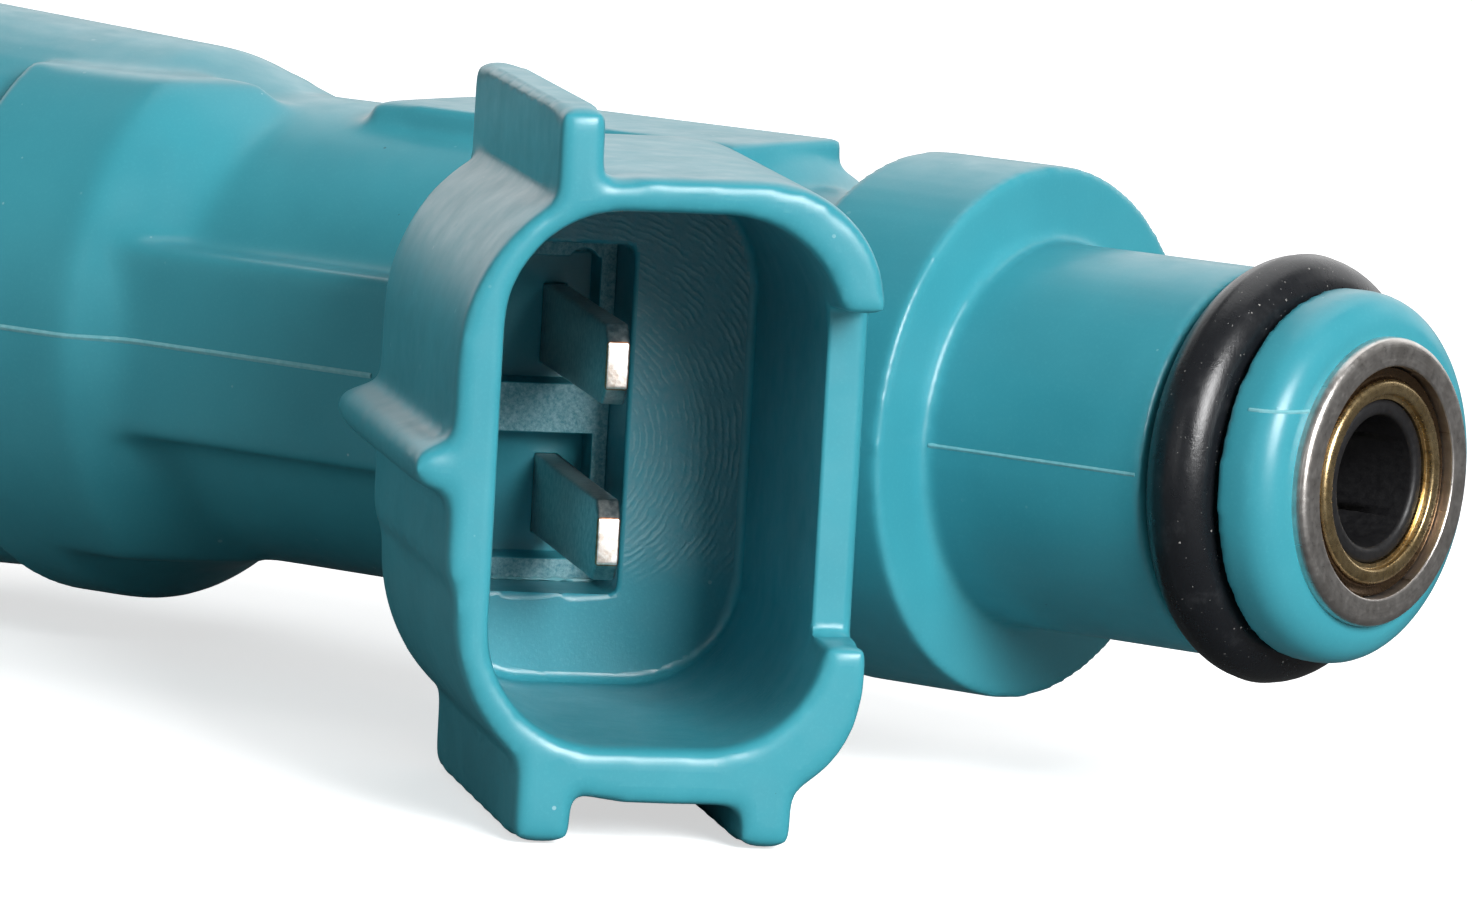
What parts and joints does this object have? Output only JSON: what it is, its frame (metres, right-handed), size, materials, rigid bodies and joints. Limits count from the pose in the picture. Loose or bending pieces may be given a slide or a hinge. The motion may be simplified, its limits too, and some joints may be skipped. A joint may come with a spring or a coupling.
{
  "type": "fuel injector",
  "caption": "Top-feed electromagnetic fuel injector with an angled two-blade connector, a rail seal ring and a spring-closed ball valve.",
  "frame": {"origin": "centre of the fuel inlet's end face", "axes": "+X along the injector's axis, out of the fuel inlet and away from the nozzle; the connector leans out towards -Y and +X; +Z is across both, with the connector's single keying vane on top"},
  "size_m": [0.0684, 0.0327, 0.0195],
  "materials": {
    "teal_plastic": "satin moulded, fine grain",
    "black_rubber": "satin, slightly dusty",
    "tinned_terminal": "tin plated",
    "inlet_steel": "turned",
    "filter_brass": "turned",
    "black_nylon": "satin moulded",
    "filter_cloth": "fine woven cloth",
    "magnet_steel": "turned",
    "spring_steel": "drawn wire",
    "plated_yoke": "zinc plated, satin",
    "winding_copper": "enamelled wire",
    "stainless_steel": "ground"
  },
  "bodies": {
    "injector_body": {"moulded_housing": "teal_plastic", "terminal_blade_upper": "tinned_terminal", "terminal_blade_lower": "tinned_terminal", "terminal_carrier": "teal_plastic", "inlet_oring": "black_rubber", "inlet_tube": "inlet_steel", "filter_ring": "filter_brass", "filter_basket": "black_nylon", "filter_mesh": "filter_cloth", "fixed_core": "magnet_steel", "spring_adjuster": "magnet_steel", "return_spring": "spring_steel", "magnet_yoke": "plated_yoke", "yoke_plate": "magnet_steel", "coil_bobbin": "black_nylon", "coil_winding": "winding_copper", "coil_seal_upper": "black_rubber", "coil_seal_lower": "black_rubber", "nonmagnetic_sleeve": "stainless_steel", "lift_stop": "stainless_steel", "valve_body": "stainless_steel", "needle_guide": "stainless_steel", "valve_seat": "stainless_steel", "orifice_plate": "stainless_steel", "seal_backup_ring": "black_nylon", "lower_oring": "black_rubber", "nozzle_cap": "black_nylon"},
    "valve_group": {"armature": "magnet_steel", "needle": "stainless_steel", "valve_ball": "stainless_steel"}
  },
  "joints": [
    {"name": "needle_lift", "type": "slide", "parent": "injector_body", "child": "valve_group", "axis": [1, 0, 0], "range_m": [0, 0.00009], "stiffness_N_per_m": 5000, "springref_m": -0.0006, "deforming": ["return_spring"]}
  ]
}
